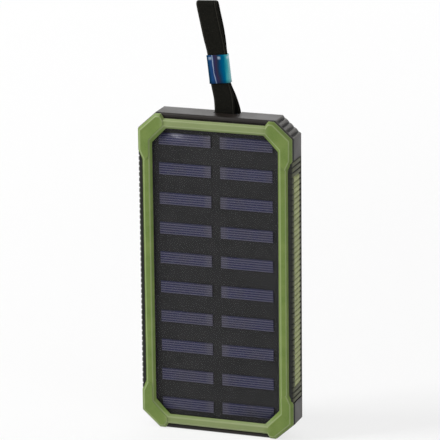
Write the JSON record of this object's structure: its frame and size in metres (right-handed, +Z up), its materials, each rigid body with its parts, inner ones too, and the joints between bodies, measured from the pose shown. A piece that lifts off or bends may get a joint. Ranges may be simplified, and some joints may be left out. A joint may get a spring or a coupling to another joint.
{
  "type": "solar phone charger",
  "caption": "Rugged pocket power bank with a solar panel in its front, ribbed side grips, covered ports and a wrist strap.",
  "frame": {"origin": "under the middle of the body, on the flat end that it stands on", "axes": "+Z up along the body's length to the strap, +X to the right of the panel, and the panel faces -Y"},
  "size_m": [0.076, 0.017, 0.2071],
  "materials": {
    "black_plastic": "semi-gloss moulded black",
    "green_plastic": "satin moulded olive green",
    "green_rubber": "matt ribbed olive green",
    "black_rubber": "matt black",
    "matt_black": "matt black",
    "panel_laminate": "clear satin laminate",
    "solar_cell": "dark blue silicon with fine pale lines",
    "black_webbing": "flat woven nylon",
    "anodised_blue": "polished blue, shading to violet and teal",
    "steel": "plated",
    "brass": "bright",
    "bright_plating": "bright plated plastic",
    "blue_plastic": "moulded blue",
    "circuit_board": "green solder mask",
    "lamp_circuit_board": "white solder mask",
    "ferrite": "matt ferrite",
    "light_pipe": "frosted clear",
    "indicator_diode": "white package",
    "lamp_diode": "yellow phosphor",
    "battery_foil": "satin pouch foil",
    "grey_foam": "soft foam",
    "clear_lens": "clear",
    "red_wire": "satin insulation",
    "black_wire": "satin insulation"
  },
  "bodies": {
    "housing": {"back_shell": "black_plastic", "front_bezel": "green_plastic", "front_tray": "black_plastic", "tray_seal": "black_rubber", "panel_cover": "panel_laminate", "cell_string_left": "solar_cell", "cell_string_right": "solar_cell", "panel_board": "matt_black", "grip_trim_left": "black_rubber", "grip_trim_right": "black_rubber", "grip_insert_left": "green_rubber", "grip_insert_right": "green_rubber", "lanyard_bar": "steel", "usb_a_shell_1": "steel", "usb_a_shell_2": "steel", "usb_a_tongue_1": "blue_plastic", "usb_a_tongue_2": "blue_plastic", "micro_usb_shell": "steel", "micro_usb_tongue": "matt_black", "main_board": "circuit_board", "controller_chip": "matt_black", "boost_chip": "matt_black", "power_inductor": "ferrite", "input_capacitor": "steel", "output_capacitor": "steel", "light_guide": "light_pipe", "charge_led_1": "indicator_diode", "charge_led_2": "indicator_diode", "charge_led_3": "indicator_diode", "charge_led_4": "indicator_diode", "charge_led_5": "indicator_diode", "tact_switch": "matt_black", "battery_left": "battery_foil", "battery_right": "battery_foil", "foam_pad_left": "grey_foam", "foam_pad_right": "grey_foam", "lamp_lens": "clear_lens", "lamp_reflector": "bright_plating", "lamp_board": "lamp_circuit_board", "lamp_led_1": "lamp_diode", "lamp_led_2": "lamp_diode", "lamp_led_3": "lamp_diode", "lamp_led_4": "lamp_diode", "case_screw_1": "steel", "case_screw_2": "steel", "case_screw_3": "steel", "case_screw_4": "steel", "lamp_lead_red": "red_wire", "lamp_lead_black": "black_wire", "panel_lead_red": "red_wire", "panel_lead_black": "black_wire", "battery_lead_red": "red_wire", "battery_lead_black": "black_wire"},
    "strap": {"lanyard_strap": "black_webbing", "lanyard_ferrule": "anodised_blue"},
    "flap": {"port_cover": "black_rubber"},
    "button": {"power_button": "black_rubber", "switch_plunger": "brass"}
  },
  "joints": [
    {"name": "strap_hinge", "type": "hinge", "parent": "housing", "child": "strap", "pos_m": [0, 0.0035, 0.1529], "axis": [1, 0, 0], "range_deg": [-90, 12]},
    {"name": "port_cover_hinge", "type": "hinge", "parent": "housing", "child": "flap", "pos_m": [0, 0.0033, 0.00085], "axis": [1, 0, 0], "range_deg": [0, 100]},
    {"name": "power_button_slide", "type": "slide", "parent": "housing", "child": "button", "axis": [1, 0, 0], "range_m": [0, 0.00035], "stiffness_N_per_m": 500}
  ]
}
